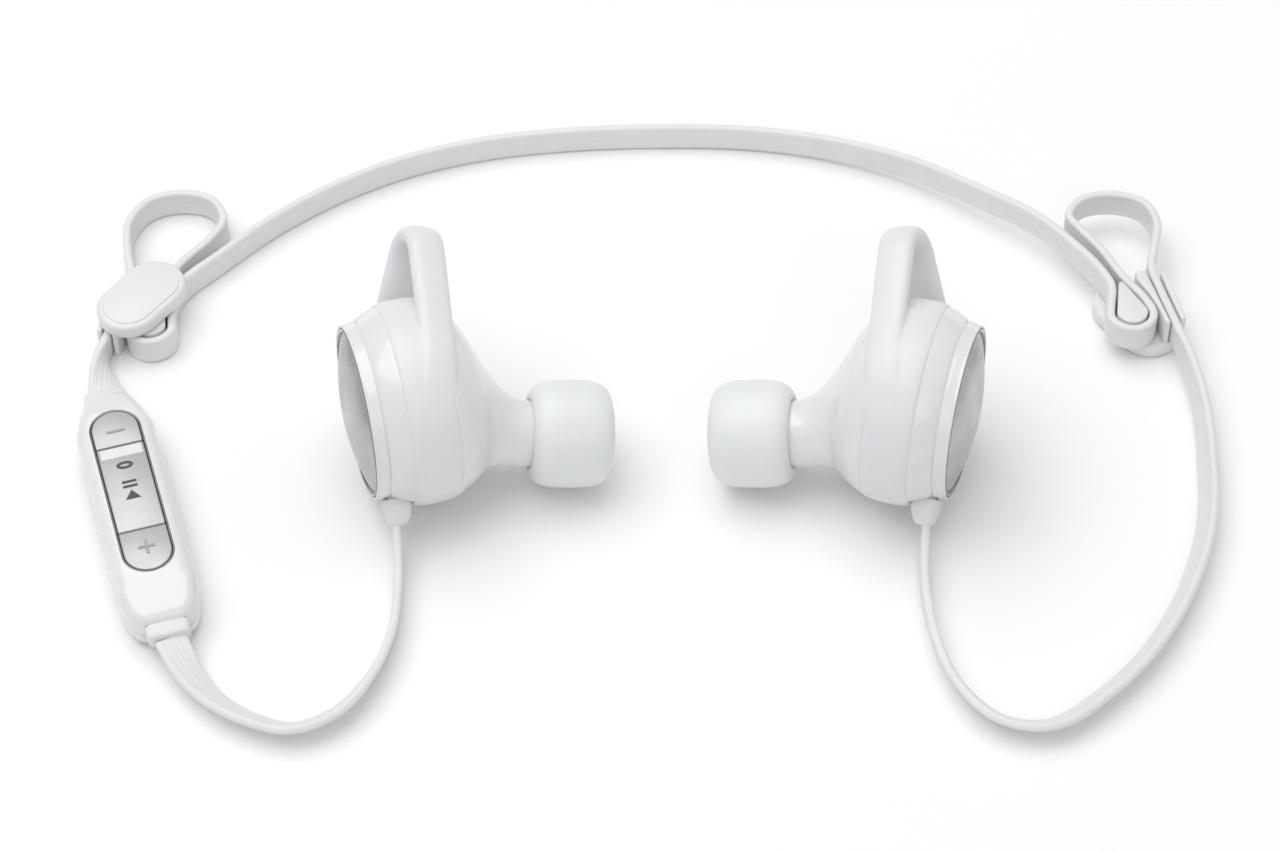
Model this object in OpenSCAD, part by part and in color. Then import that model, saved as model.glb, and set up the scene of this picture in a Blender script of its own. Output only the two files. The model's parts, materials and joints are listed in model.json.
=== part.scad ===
// Neckband earphones: two in-ear pieces, a flat cable, an in-line remote and two cable clips,
// lying on a table. X runs to the wearer's right-hand piece, Y away from the viewer, Z up.

/* [Ear piece] */
// Distance of each disc's centre from the middle plane
ear_x = 34.8; // [34:0.1:36]
// Place of each disc's centre along Y
ear_y = -3.9; // [-5:0.1:-3]
// Outer radius of the round body with its silicone sleeve
drum_r = 12; // [12:0.1:12.4]
// Wall thickness of the plastic shells
wall = 0.9; // [0.7:0.05:1.1]
// Diameter of the domed disc on the outer face
disc_d = 18.7; // [18.2:0.1:18.8]
// Height of the disc's dome
disc_dome = 1.7; // [1.2:0.1:1.8]
// Thickness of the silicone sleeve
sleeve_t = 0.85; // [0.7:0.05:0.9]
// Reach of the wing's arch above the body's axis
arch_top = 19.9; // [19:0.1:20.5]
// Width of the wing's arch along the body's axis
arch_w = 4.2; // [3.6:0.1:4.4]

/* [Ear tip] */
// Outer diameter of the silicone ear tip
tip_d = 12.6; // [11.5:0.1:12.6]
// Length of the ear tip
tip_len = 9.6; // [9:0.1:10]
// Angle of the nozzle below the body's axis
nozzle_angle = 11.5; // [10:0.1:13]
// Outer radius of the nozzle tube
nozzle_r = 2.6; // [2.4:0.05:2.6]

/* [Cable] */
// Width of the flat cable
ribbon_w = 3.8; // [3.4:0.1:3.8]
// Thickness of the flat cable
ribbon_t = 1; // [0.9:0.05:1.1]

/* [Remote] */
// Length of the remote's shells
remote_len = 35; // [34:0.5:36]
// Width of the remote
remote_w = 9.2; // [9:0.1:9.6]
// Height of the remote
remote_h = 6; // [5.8:0.1:6.4]
// Length of the button panel
panel_len = 24.4; // [23:0.1:25]
// Width of the button panel
panel_w = 5.6; // [5:0.1:6]
// Travel of the three buttons
button_travel = 0.25; // [0.15:0.05:0.3]

/* [Clips] */
// Thickness of a clip's plate
plate_t = 2; // [1.6:0.1:2.2]
// Length of a clip's plate
plate_len = 12.2; // [11.8:0.1:13]
// Width of a clip's plate
plate_w = 7.8; // [7.5:0.1:8.4]

/* [Hidden] */

$fn = 64;
eps = 0.01;
white = "white";
silicone = "whitesmoke";
steel = "silver";
dark = "dimgray";

// An ear piece leans back on the table and turns its disc a little to the front.
ear_tilt = -51;
ear_roll = 2;
ear_yaw = 16.5;

// Stations along the body's axis, from the disc (0) inwards to the nozzle.
rim_x = 1.15;
split_x = 3.9;
sleeve_end_x = 9.6;
rim_r = 10.25;
band_r = 10.5;
disc_r = disc_d / 2;
ring_r = disc_r + 0.55;
rear_wall_x = 0.4;
rear_wall_t = 0.6;
core_r = drum_r - sleeve_t;
// The sleeve's front edge touches the table, so the disc's centre is a little higher.
ear_z = drum_r + (sleeve_end_x - 0.6) * sin(ear_roll);
// Clearance of pieces that move against each other.
gap = 0.08;

// The shoulder's outline: station on the axis, height of its centre, radius and lean.
shoulder = [
  [9.62, 0, 11.55, 0],
  [11, -0.25, 10.6, 0],
  [12.7, -1, 8.8, -1],
  [14.3, -3.1, 6.2, -5],
  [16.1, -5, 4.5, -9],
  [18.1, -6.05, 3.95, -11.5],
  [19.6, -6.4, 3.85, -11.5]
];
neck_end = shoulder[6];
neck_bore_r = 2.65;

// The wing's arch stands across the body, leans towards the nozzle and is a little twisted.
arch_x = 5.7;
arch_lean = 15.5;
arch_twist = 10.5;
arch_foot_z = 2;

// The nozzle starts inside the neck; its axis points down towards the ear canal.
nozzle_x = neck_end[0];
nozzle_z = neck_end[1];
nozzle_out = 5.4;
nozzle_in = 2.4;
nozzle_bore_r = 1.9;
bead_r = nozzle_r + 0.1;
stem_bore_r = bead_r + 0.06;
stem_start = 0.35;
tip_back = -0.8;

// Remote: where it lies, and how it is turned.
remote_pos = [-60.9, -11.2, 0];
remote_yaw = 17;
panel_y = 1;
shell_split_z = 2.6;
shell_wall = 0.8;

// Clips: the centre of the post that the cable turns round.
post_r = 1.95;
left_post = [-61.8, 17.4];
right_post = [56.8, 17.7];
stand_z = ribbon_w / 2;

// Cable from the left ear piece to the remote: x, y, z, and the lean of its width from upright.
left_route = [
  [-30.5, -13.9, 3.4, 0], [-30.2, -17.5, 2.4, 0], [-30.1, -22, 1.95, -3], [-30.6, -28, 2, -12],
  [-32.7, -34, 2, -25], [-36.3, -38.8, 1.9, -38], [-41, -40.9, 1.85, -42],
  [-45.8, -39.6, 1.8, -46], [-50, -36.9, 1.75, -52], [-53.1, -33.3, 2, -68],
  [-55.3, -29.4, 2.9, -88]
];
// Cable above the remote, up to the left clip.
head_route = [[-66.2, 6.4, 3, -90], [-66.9, 10.3, 2.6, -45]];
// The fold through a clip, from the neck side outwards: plan distances from the clip's post.
fold_in = [
  [-3.4, 7.5], [-2.1, 4.4], [-2.4, 1.4], [-2.5, -0.9], [-1.4, -2.2], [0.4, -2.6],
  [2, -1.7], [2.6, -0.2], [1.8, 2.2], [-0.6, 5.9], [-2.9, 10.4]
];
fold_out = [[3.9, 11.9], [3, 7.6], [3.8, 3.6], [4.8, -0.3], [5.5, -3]];
// The loop of spare cable that stands out of each clip.
left_loop = [[-6, 14.4], [-7.4, 17.6], [-5.7, 21], [-1.9, 22.1], [2.2, 20.8], [4.3, 17]];
right_loop = [[-5.1, 13.7], [-6.4, 16.2], [-4.6, 18.9], [-0.7, 19.7], [2.9, 18.4], [4.3, 15.4]];
// Cable round the neck, from clip to clip.
neck_route = [
  [-54.4, 29.2, 1.9, 0], [-50.6, 33.2, 1.9, 0], [-46.4, 37, 1.9, 0], [-40, 41.6, 1.9, 0],
  [-32, 45.8, 1.9, 0], [-22, 48.9, 1.9, 0],
  [-11, 50.5, 1.9, 0], [0, 51, 1.9, 0], [11, 50.6, 2, 0], [21, 48.6, 2.3, 0],
  [31, 44.7, 2.8, 0], [40, 38.8, 3.4, 0], [46.4, 34, 3.8, 0], [50.4, 29.4, 3.9, 0]
];
// Cable from the right clip down and round to the right ear piece.
drop_route = [
  [63, 12.6, 3.5, -5], [64.2, 6, 2.7, -12], [64.3, -2, 2.1, -20], [63.5, -11, 2, -25],
  [60.8, -20, 2, -30], [56, -29, 1.95, -33], [50, -35.8, 1.9, -38], [43.2, -40.4, 1.85, -42],
  [37.6, -39.6, 1.9, -38], [33.5, -35.2, 2, -27], [31.2, -29, 2, -14], [30.2, -22, 1.95, -3],
  [30.2, -17.5, 2.4, 0], [30.5, -13.9, 3.4, 0]
];

function reversed(list) = [for (i = [len(list) - 1:-1:0]) list[i]];
function folded(post, side, loop, z) =
  [for (p = concat(fold_in, loop, fold_out)) [post[0] + side * p[0], post[1] + p[1], z, 0]];
function unit(v) = v / norm(v);
function arc(r, from, to, steps) =
  [for (i = [0:steps]) let (a = from + (to - from) * i / steps) [r * cos(a), r * sin(a)]];

neck_cable_route = concat(
  head_route,
  reversed(folded(left_post, -1, left_loop, stand_z)),
  neck_route,
  folded(right_post, 1, right_loop, plate_t + stand_z),
  drop_route
);

// Cross-section of the flat cable: an eight-sided strip with eased edges.
edge = 0.32;
strip = [
  [ribbon_w / 2, ribbon_t / 2 - edge], [ribbon_w / 2 - edge, ribbon_t / 2],
  [edge - ribbon_w / 2, ribbon_t / 2], [-ribbon_w / 2, ribbon_t / 2 - edge],
  [-ribbon_w / 2, edge - ribbon_t / 2], [edge - ribbon_w / 2, -ribbon_t / 2],
  [ribbon_w / 2 - edge, -ribbon_t / 2], [ribbon_w / 2, edge - ribbon_t / 2]
];

// One ring of a swept strip at point i of a route.
function route_point(route, i) = let (p = route[i]) [p[0], p[1], p[2]];
function route_ring(route, i) =
  let (
    here = route_point(route, i),
    before = route_point(route, max(i - 1, 0)),
    after = route_point(route, min(i + 1, len(route) - 1)),
    along = unit(after - before),
    side = unit(cross(along, [0, 0, 1])),
    up = cross(side, along),
    lean = route[i][3],
    width_dir = up * cos(lean) + side * sin(lean),
    thick_dir = cross(along, width_dir)
  )
  [for (p = strip) here + p[0] * width_dir + p[1] * thick_dir];

// Skin between rings of n points each, with both ends closed.
function ring_faces(n, rings) = [
  for (i = [0:rings - 2]) for (j = [0:n - 1]) let (k = (j + 1) % n)
    each [[i * n + j, i * n + k, (i + 1) * n + j], [i * n + k, (i + 1) * n + k, (i + 1) * n + j]]
];
function ring_cap(n, ring, flip) =
  [for (j = [0:n - 1]) ring * n + (flip ? n - 1 - j : j)];

module ribbon(route) {
  n = len(strip);
  rings = len(route);
  points = [for (i = [0:rings - 1]) each route_ring(route, i)];
  polyhedron(
    points = points,
    faces = concat(ring_faces(n, rings), [ring_cap(n, 0, true), ring_cap(n, rings - 1, false)]),
    convexity = 12
  );
}

// ---- Placing ----

module ear_place(side) {
  mirror([side > 0 ? 1 : 0, 0, 0])
    translate([-ear_x, ear_y, ear_z])
      rotate([ear_tilt, ear_roll, ear_yaw])
        children();
}

// Turns a shape made round Z so that it lies round the body's axis.
module on_axis(x = 0) {
  translate([x, 0, 0]) rotate([0, 90, 0]) children();
}

// Places a shape made round Z on the nozzle's slanted axis.
module on_nozzle(along = 0) {
  translate([nozzle_x, 0, nozzle_z])
    rotate([0, nozzle_angle, 0])
      translate([along, 0, 0])
        rotate([0, 90, 0])
          children();
}

// A solid of revolution from points given as [station, radius].
module turned(points) {
  rotate_extrude() polygon([for (p = points) [p[1], p[0]]]);
}

module remote_place() {
  translate(remote_pos) rotate([0, 0, remote_yaw]) children();
}

// ---- Ear piece: housings ----

usb_angle = 26;
usb_x = 2.25;
usb_h = 2.4;
usb_w = 7.4;
cover_w = 2.9;
cover_l = 8.8;
cover_floor = 9.15;

// Outer surface of the rear housing: rim, bright band and flare.
rear_outline = [
  [-0.3, ring_r + 0.25], [0.15, rim_r], [rim_x, band_r], [rim_x + 0.2, band_r - 0.05],
  [2.4, 11.1], [split_x, drum_r - 0.35]
];

module usb_turn() {
  rotate([-usb_angle, 0, 0]) children();
}

module rear_housing(side) {
  color(white) ear_place(side)
    difference() {
      on_axis() turned(concat(
        [[rear_wall_x, ring_r + 0.06], [-0.1, ring_r + 0.06]],
        rear_outline,
        [
          [split_x, core_r - wall], [rim_x + 0.3, band_r - wall],
          [rear_wall_x + rear_wall_t, band_r - wall - 0.4], [rear_wall_x + rear_wall_t, 0],
          [rear_wall_x, 0]
        ]
      ));
      boot_slot();
      if (side < 0) usb_turn() usb_opening();
    }
}

// Box that is thick along the body's axis, centred on the USB port.
module port_box(thick, width, from, to) {
  translate([usb_x - thick / 2, -width / 2, from]) cube([thick, width, to - from]);
}

module usb_opening() {
  port_box(usb_h + 0.1, usb_w + 0.1, drum_r - 6, drum_r);
  port_box(cover_w + 2 * gap, cover_l + 2 * gap, cover_floor - gap, drum_r + 1);
}

boot_x = 1.85;

// Opening at the bottom of the rear housing, and a pocket, for the cable's strain relief.
module boot_slot() {
  translate([boot_x - 1.1, -2.2, -drum_r - 1]) cube([2.2, 4.4, 4]);
  translate([boot_x - 1.5, -2.53, -drum_r - 1]) cube([3.5, 5.06, 2.52]);
}

module disc(side) {
  dome_r = (disc_r * disc_r + disc_dome * disc_dome) / (2 * disc_dome);
  half = asin(disc_r / dome_r);
  rise = arc(dome_r, 0, half, 24);
  color(steel) ear_place(side)
    on_axis() turned(concat(
      [for (p = rise) [dome_r - disc_dome - p[0] - 0.1, p[1]]],
      [[rear_wall_x, disc_r], [rear_wall_x, 0]]
    ));
}

module disc_ring(side) {
  color(dark) ear_place(side)
    on_axis() turned([
      [-0.1, disc_r + 0.02], [-0.35, disc_r + 0.2], [-0.35, ring_r - 0.15], [-0.1, ring_r + 0.05],
      [rear_wall_x, ring_r + 0.05], [rear_wall_x, disc_r + 0.02]
    ]);
}

// Ring of points round the slanted neck: station, centre height, radius, lean.
neck_steps = 48;
function neck_ring(s) = [
  for (i = [0:neck_steps - 1]) let (
    a = 360 * i / neck_steps,
    side_y = s[2] * sin(a),
    up_z = s[2] * cos(a)
  ) [s[0] - up_z * sin(s[3]), side_y, s[1] + up_z * cos(s[3])]
];

// The shoulder's cavity narrows to the bore that holds the nozzle.
module front_housing(side) {
  outer = concat([[split_x, 0, core_r, 0], [sleeve_end_x, 0, core_r, 0]], shoulder);
  inner = [
    [neck_end[0], neck_end[1], neck_bore_r, neck_end[3]], [17.5, -5.97, neck_bore_r, -11.5],
    [16, -5, 3.4, -9], [14.1, -3, 5, -5], [12.3, -1, 7.7, 0],
    [sleeve_end_x, 0, core_r - wall, 0], [split_x, 0, core_r - wall, 0]
  ];
  rings = concat(outer, inner);
  count = len(rings);
  n = neck_steps;
  seam = [
    for (j = [0:n - 1]) let (k = (j + 1) % n, last = (count - 1) * n)
      each [[last + j, last + k, j], [last + k, k, j]]
  ];
  color(white) ear_place(side)
    polyhedron(
      points = [for (s = rings) each neck_ring(s)],
      faces = concat(ring_faces(n, count), seam),
      convexity = 8
    );
}

// ---- Ear piece: sound parts ----

module nozzle(side) {
  color(white) ear_place(side)
    on_nozzle() turned([
      [-nozzle_in, nozzle_bore_r], [-nozzle_in, nozzle_r], [3.6, nozzle_r], [4.1, bead_r],
      [4.6, bead_r], [nozzle_out, nozzle_r - 0.2], [nozzle_out, nozzle_bore_r + 0.25],
      [nozzle_out - 0.3, nozzle_bore_r + 0.25], [nozzle_out - 0.3, nozzle_bore_r]
    ]);
}

module nozzle_mesh(side) {
  color(dark) ear_place(side)
    on_nozzle(nozzle_out - 0.28)
      cylinder(h = 0.2, r = nozzle_bore_r + 0.2);
}

// Soft dome that folds back over a stem which grips the nozzle.
module ear_tip(side) {
  r = tip_d / 2;
  round_r = 2.6;
  skin = 0.6;
  top = tip_back + tip_len;
  middle = tip_back + tip_len / 2;
  back = tip_back;
  color(silicone) ear_place(side)
    on_nozzle() turned(concat(
      [[stem_start, stem_bore_r], [top - 0.9, stem_bore_r], [top - 0.3, 1.95], [top, 2.4]],
      [for (p = arc(round_r, 0, 80, 8)) [top - round_r + p[0], r - round_r + p[1] - 0.1]],
      [[middle, r]],
      [for (p = arc(round_r, 100, 165, 6)) [back + round_r + p[0], r - round_r + p[1] - 0.1]],
      [[back + 0.55, r - round_r + 0.4]],
      [for (p = arc(round_r - skin, 160, 100, 6))
        [back + round_r + p[0], r - round_r + p[1] - 0.1]],
      [[middle, r - skin]],
      [for (p = arc(round_r - skin, 80, 20, 6))
        [top - round_r + p[0] - 0.2, r - round_r + p[1] - 0.1]],
      [[top - 1.2, stem_bore_r + 0.75], [stem_start, stem_bore_r + 0.75]]
    ));
}

// Silicone sleeve round the body with a sprung arch that braces against the ear.
module wing(side) {
  bore_r = core_r + gap;
  front_x = sleeve_end_x - gap;
  color(silicone) ear_place(side)
    union() {
      on_axis() turned([
        [split_x + gap, bore_r], [split_x + gap, drum_r - 0.3], [split_x + 0.5, drum_r],
        [front_x - 0.5, drum_r], [front_x, drum_r - 0.35], [front_x, bore_r]
      ]);
      difference() {
        arch_block(drum_r - 0.1, 0);
        arch_block(drum_r - 2.9, 2);
        on_axis() cylinder(h = 20, r = drum_r - 0.25);
        translate([-1, -20, -30]) cube([30, 40, 30 + arch_foot_z]);
      }
    }
}

// Upright outline of the arch across the body, leaning forward, thinner by t all round.
module arch_block(foot_r, t) {
  end_r = 5.6 - t;
  width = arch_w + 2 * t;
  translate([arch_x, 0, 0]) rotate([0, arch_lean, arch_twist]) translate([-width / 2, 0, 0])
    hull() {
      on_axis() cylinder(h = width, r = foot_r, $fn = 96);
      translate([0, 0, arch_top / cos(arch_lean) - 5.6]) on_axis() cylinder(h = width, r = end_r);
    }
}

// Soft boot that carries the cable out of the rear housing, tapering towards the cable.
module strain_relief(side) {
  color(silicone) ear_place(side)
    union() {
      translate([boot_x - 1, -2.1, -11]) cube([2, 4.2, 1.9]);
      hull() {
        translate([boot_x + 0.25, 0, -10.81]) cube([3.3, 4.9, 0.5], center = true);
        translate([boot_x, 0.2, -13.75]) cube([2, 4.4, 0.3], center = true);
      }
    }
}

module driver_frame(side) {
  color(dark) ear_place(side)
    on_axis() turned([
      [6.4, 3.2], [6.4, 4.2], [7.6, 4.2], [8.3, 6.6], [9.3, 6.6], [9.3, 6.1], [8.6, 5.9],
      [8, 3.2]
    ]);
}

module driver_magnet(side) {
  color(steel) ear_place(side)
    on_axis() turned([
      [6.5, 0.7], [6.5, 3.2], [7.9, 3.2], [7.9, 2.8], [7.1, 2.75], [7.1, 2.2], [7.9, 2.2],
      [7.9, 0.7]
    ]);
}

module driver_coil(side) {
  color("peru") ear_place(side)
    on_axis() turned([[7.3, 2.35], [7.3, 2.6], [8.7, 2.6], [8.7, 2.35]]);
}

module driver_diaphragm(side) {
  color("lightgray") ear_place(side)
    on_axis() turned([
      [8.72, 5.9], [8.82, 5.9], [9.15, 4.4], [8.8, 2.65], [9.5, 0], [9.4, 0], [8.7, 2.3],
      [8.7, 2.8], [9.02, 4.4]
    ]);
}

// ---- Left ear piece: charging parts ----

module main_board() {
  color("seagreen") ear_place(-1)
    difference() {
      on_axis(3.5) cylinder(h = 0.8, r = 8.8);
      on_axis(3) cylinder(h = 2, r = 0.8);
    }
}

module usb_socket() {
  color(steel) ear_place(-1) usb_turn()
    difference() {
      port_box(usb_h, usb_w, 4.2, 9);
      port_box(usb_h - 0.5, usb_w - 0.5, 4.5, 10);
    }
}

// Soft flap over the port: it follows the housing's surface and plugs the socket's mouth.
module usb_cover() {
  color(silicone) ear_place(-1)
    union() {
      intersection() {
        on_axis() turned(concat([[-0.3, 0]], rear_outline, [[split_x, 0]]));
        usb_turn() port_box(cover_w, cover_l, cover_floor, drum_r);
      }
      usb_turn() port_box(usb_h - 0.8, usb_w - 0.9, 8.4, cover_floor + 0.1);
    }
}

module battery() {
  color("slategray") ear_place(1)
    on_axis(1.6) turned([[0, 0], [0, 7], [0.3, 7.3], [3.7, 7.3], [4, 7], [4, 0]]);
}

// ---- Remote ----

// Plan outline of the remote, inset by t: parallel sides and tapered ends.
module remote_outline(t) {
  hull()
    for (end = [-1, 1]) {
      translate([0, end * (remote_len / 2 - 6.6)]) circle(d = remote_w - 2 * t);
      for (side = [-1, 1]) translate([side * 1.9, end * (remote_len / 2 - 1 - t)]) circle(r = 1);
    }
}

// Capsule outline along Y.
module capsule(length, width) {
  hull() {
    translate([0, (length - width) / 2]) circle(d = width);
    translate([0, (width - length) / 2]) circle(d = width);
  }
}

module boot_slots() {
  translate([-2.1, -remote_len / 2 - 1, 2.1]) cube([4.2, 4, 1.9]);
  translate([-2.1, remote_len / 2 - 3, 2.1]) cube([4.2, 4, 1.9]);
}

module remote_front_shell() {
  color(white) remote_place()
    difference() {
      union() {
        translate([0, 0, shell_split_z]) linear_extrude(remote_h - shell_split_z - 0.9)
          remote_outline(0);
        translate([0, 0, remote_h - 0.9 - eps]) linear_extrude(0.5 + eps) remote_outline(0.35);
        translate([0, 0, remote_h - 0.4 - eps]) linear_extrude(0.4 + eps) remote_outline(1.0);
      }
      translate([0, 0, shell_split_z - 1])
        linear_extrude(remote_h - shell_split_z - shell_wall + 1) remote_outline(shell_wall + 0.2);
      translate([0, panel_y, shell_split_z])
        linear_extrude(5) capsule(panel_len + 0.7, panel_w + 0.7);
      boot_slots();
    }
}

module remote_back_shell() {
  color(white) remote_place()
    difference() {
      union() {
        linear_extrude(0.5 + eps) remote_outline(0.9);
        translate([0, 0, 0.5]) linear_extrude(0.6 + eps) remote_outline(0.3);
        translate([0, 0, 1.1]) linear_extrude(shell_split_z - 1.1) remote_outline(0);
      }
      translate([0, 0, shell_wall]) linear_extrude(5) remote_outline(shell_wall + 0.2);
      boot_slots();
    }
}

module button_frame() {
  color(dark) remote_place()
    translate([0, panel_y, remote_h - 1.3])
      linear_extrude(1.35)
        difference() {
          capsule(panel_len + 0.68, panel_w + 0.68);
          capsule(panel_len + 0.1, panel_w + 0.1);
        }
}

button_top = remote_h + 0.15;
button_bottom = remote_h - 1.35;
minus_split = panel_len / 2 - 5.4;
plus_split = 6.1 - panel_len / 2;

// Part of the panel between two stations along the remote.
module panel_part(from, to) {
  translate([0, panel_y, button_bottom])
    linear_extrude(button_top - button_bottom)
      intersection() {
        capsule(panel_len - 0.1, panel_w - 0.1);
        translate([-panel_w, from]) square([2 * panel_w, to - from]);
      }
}

module button_minus() {
  color(steel) remote_place()
    union() {
      panel_part(minus_split + gap, panel_len);
      translate([-0.9, panel_y + minus_split + 2.4, button_top - eps]) cube([1.8, 0.35, 0.1]);
    }
}

module button_centre() {
  color(steel) remote_place()
    union() {
      panel_part(plus_split + gap, minus_split - gap);
      translate([0, panel_y + 2.9, button_top - eps]) cylinder(h = 0.08, r = 0.9);
      for (y = [-0.5, 0.1]) translate([-0.9, panel_y + y, button_top - eps])
        cube([1.8, 0.35, 0.08]);
      translate([0, panel_y - 1.6, button_top - eps])
        linear_extrude(0.08) polygon([[-0.9, -0.6], [0.9, -0.6], [0, 0.7]]);
    }
}

module button_plus() {
  color(steel) remote_place()
    union() {
      panel_part(-panel_len, plus_split - gap);
      translate([0, panel_y + plus_split - 2.9, button_top - eps]) {
        translate([-0.9, -0.17, 0]) cube([1.8, 0.35, 0.1]);
        translate([-0.17, -0.9, 0]) cube([0.35, 1.8, 0.1]);
      }
    }
}

switch_places = [panel_y + 9, panel_y - 0.4, panel_y - 9.2];
// A fully pressed button stops just above the pad.
pad_bottom = 3.9;
pad_top = button_bottom - button_travel - 0.05;

module button_pad() {
  color(silicone) remote_place()
    union() {
      translate([-2.9, panel_y - 12, pad_bottom]) cube([5.8, 23.8, pad_top - pad_bottom]);
      for (y = switch_places) translate([0, y, pad_bottom - 0.25])
        cylinder(h = 0.25 + eps, r = 0.8);
    }
}

module remote_board() {
  color("seagreen") remote_place()
    difference() {
      translate([-3.1, panel_y - 15, 2.2]) cube([6.2, 25.5, 0.8]);
      translate([0, panel_y - 14, 0]) cylinder(h = 5, r = 0.5);
    }
}

module dome_switches() {
  color(steel) remote_place()
    for (y = switch_places) translate([0, y, 3])
      turned([[0, 0], [0, 1.6], [0.2, 1.6], [0.5, 0.9], [0.6, 0]]);
}

module microphone() {
  color(steel) remote_place()
    translate([-1.4, panel_y - 14.4, 1.2]) cube([2.8, 3.4, 0.98]);
}

module remote_boot(length) {
  hull() {
    translate([-2.6, -length / 2, 1.7]) cube([5.2, 0.4, 2.6]);
    translate([-2.35, length / 2 - 0.4, 2]) cube([4.7, 0.4, 2]);
  }
}

module remote_lower_boot() {
  color(silicone) remote_place()
    union() {
      translate([-2, -remote_len / 2 - 0.3, 2.15]) cube([4, 2.2, 1.8]);
      translate([0, -remote_len / 2 - 0.82, 0]) rotate([0, 0, 180]) remote_boot(1.6);
    }
}

module remote_upper_boot() {
  color(silicone) remote_place()
    union() {
      translate([-2, remote_len / 2 - 1.9, 2.15]) cube([4, 2.2, 1.8]);
      translate([0, remote_len / 2 + 0.62, 0]) remote_boot(1.2);
    }
}

// ---- Clips ----

// Clip centred on its post; +X points away from the neck. The plate is below or above.
module clip_body(plate_below) {
  lap = 0.1;
  wall_z = plate_below ? plate_t - lap : 0;
  plate_z = plate_below ? 0 : ribbon_w;
  translate([0, 0, wall_z]) linear_extrude(ribbon_w + lap) clip_walls();
  translate([1.2, 3, plate_z]) rotate([0, 0, 37]) {
    linear_extrude(plate_t) capsule(plate_len - 0.8, plate_w - 0.8);
    translate([0, 0, 0.35]) linear_extrude(plate_t - 0.7) capsule(plate_len, plate_w);
  }
}

// Post, wedge and outer wall between which the cable is folded.
module clip_walls() {
  hull() {
    circle(r = post_r - gap);
    translate([-0.95, 4.4]) circle(r = 0.35);
  }
  polygon([[3.9, -1.9], [3.3, 0.4], [2.3, 2.9], [1.0, 5.2], [0.9, 6.4], [2.1, 6.6],
           [3.0, 3.5], [4.1, -0.5], [4.5, -1.9]]);
  polygon([[5.85, -1.4], [5.5, -0.2], [4.5, 3.8], [3.95, 6.3], [4.6, 6.5], [5.2, 4],
           [6.15, 0.1], [6.4, -1.2]]);
}

module left_clip() {
  color(white)
    translate([left_post[0], left_post[1], 0])
      mirror([1, 0, 0]) clip_body(false);
}

module right_clip() {
  color(white)
    translate([right_post[0], right_post[1], 0]) clip_body(true);
}

// ---- Cables ----

module cable_left() {
  color(white) ribbon(left_route);
}

module cable_neck() {
  color(white) ribbon(neck_cable_route);
}

rear_housing(-1);  // left_rear_housing
disc(-1);  // left_disc
disc_ring(-1);  // left_disc_ring
front_housing(-1);  // left_front_housing
nozzle(-1);  // left_nozzle
nozzle_mesh(-1);  // left_nozzle_mesh
ear_tip(-1);  // left_ear_tip
wing(-1);  // left_wing
strain_relief(-1);  // left_strain_relief
driver_frame(-1);  // left_driver_frame
driver_magnet(-1);  // left_driver_magnet
driver_diaphragm(-1);  // left_driver_diaphragm
driver_coil(-1);  // left_driver_coil
main_board();
usb_socket();
usb_cover();
rear_housing(1);  // right_rear_housing
disc(1);  // right_disc
disc_ring(1);  // right_disc_ring
front_housing(1);  // right_front_housing
nozzle(1);  // right_nozzle
nozzle_mesh(1);  // right_nozzle_mesh
ear_tip(1);  // right_ear_tip
wing(1);  // right_wing
strain_relief(1);  // right_strain_relief
driver_frame(1);  // right_driver_frame
driver_magnet(1);  // right_driver_magnet
driver_diaphragm(1);  // right_driver_diaphragm
driver_coil(1);  // right_driver_coil
battery();
remote_front_shell();
remote_back_shell();
button_frame();
button_minus();
button_centre();
button_plus();
button_pad();
remote_board();
dome_switches();
microphone();
remote_upper_boot();
remote_lower_boot();
left_clip();
right_clip();
cable_left();
cable_neck();
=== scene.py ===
"""Looks of the neckband earphones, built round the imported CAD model. Lengths below are mm until placed."""

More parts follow.
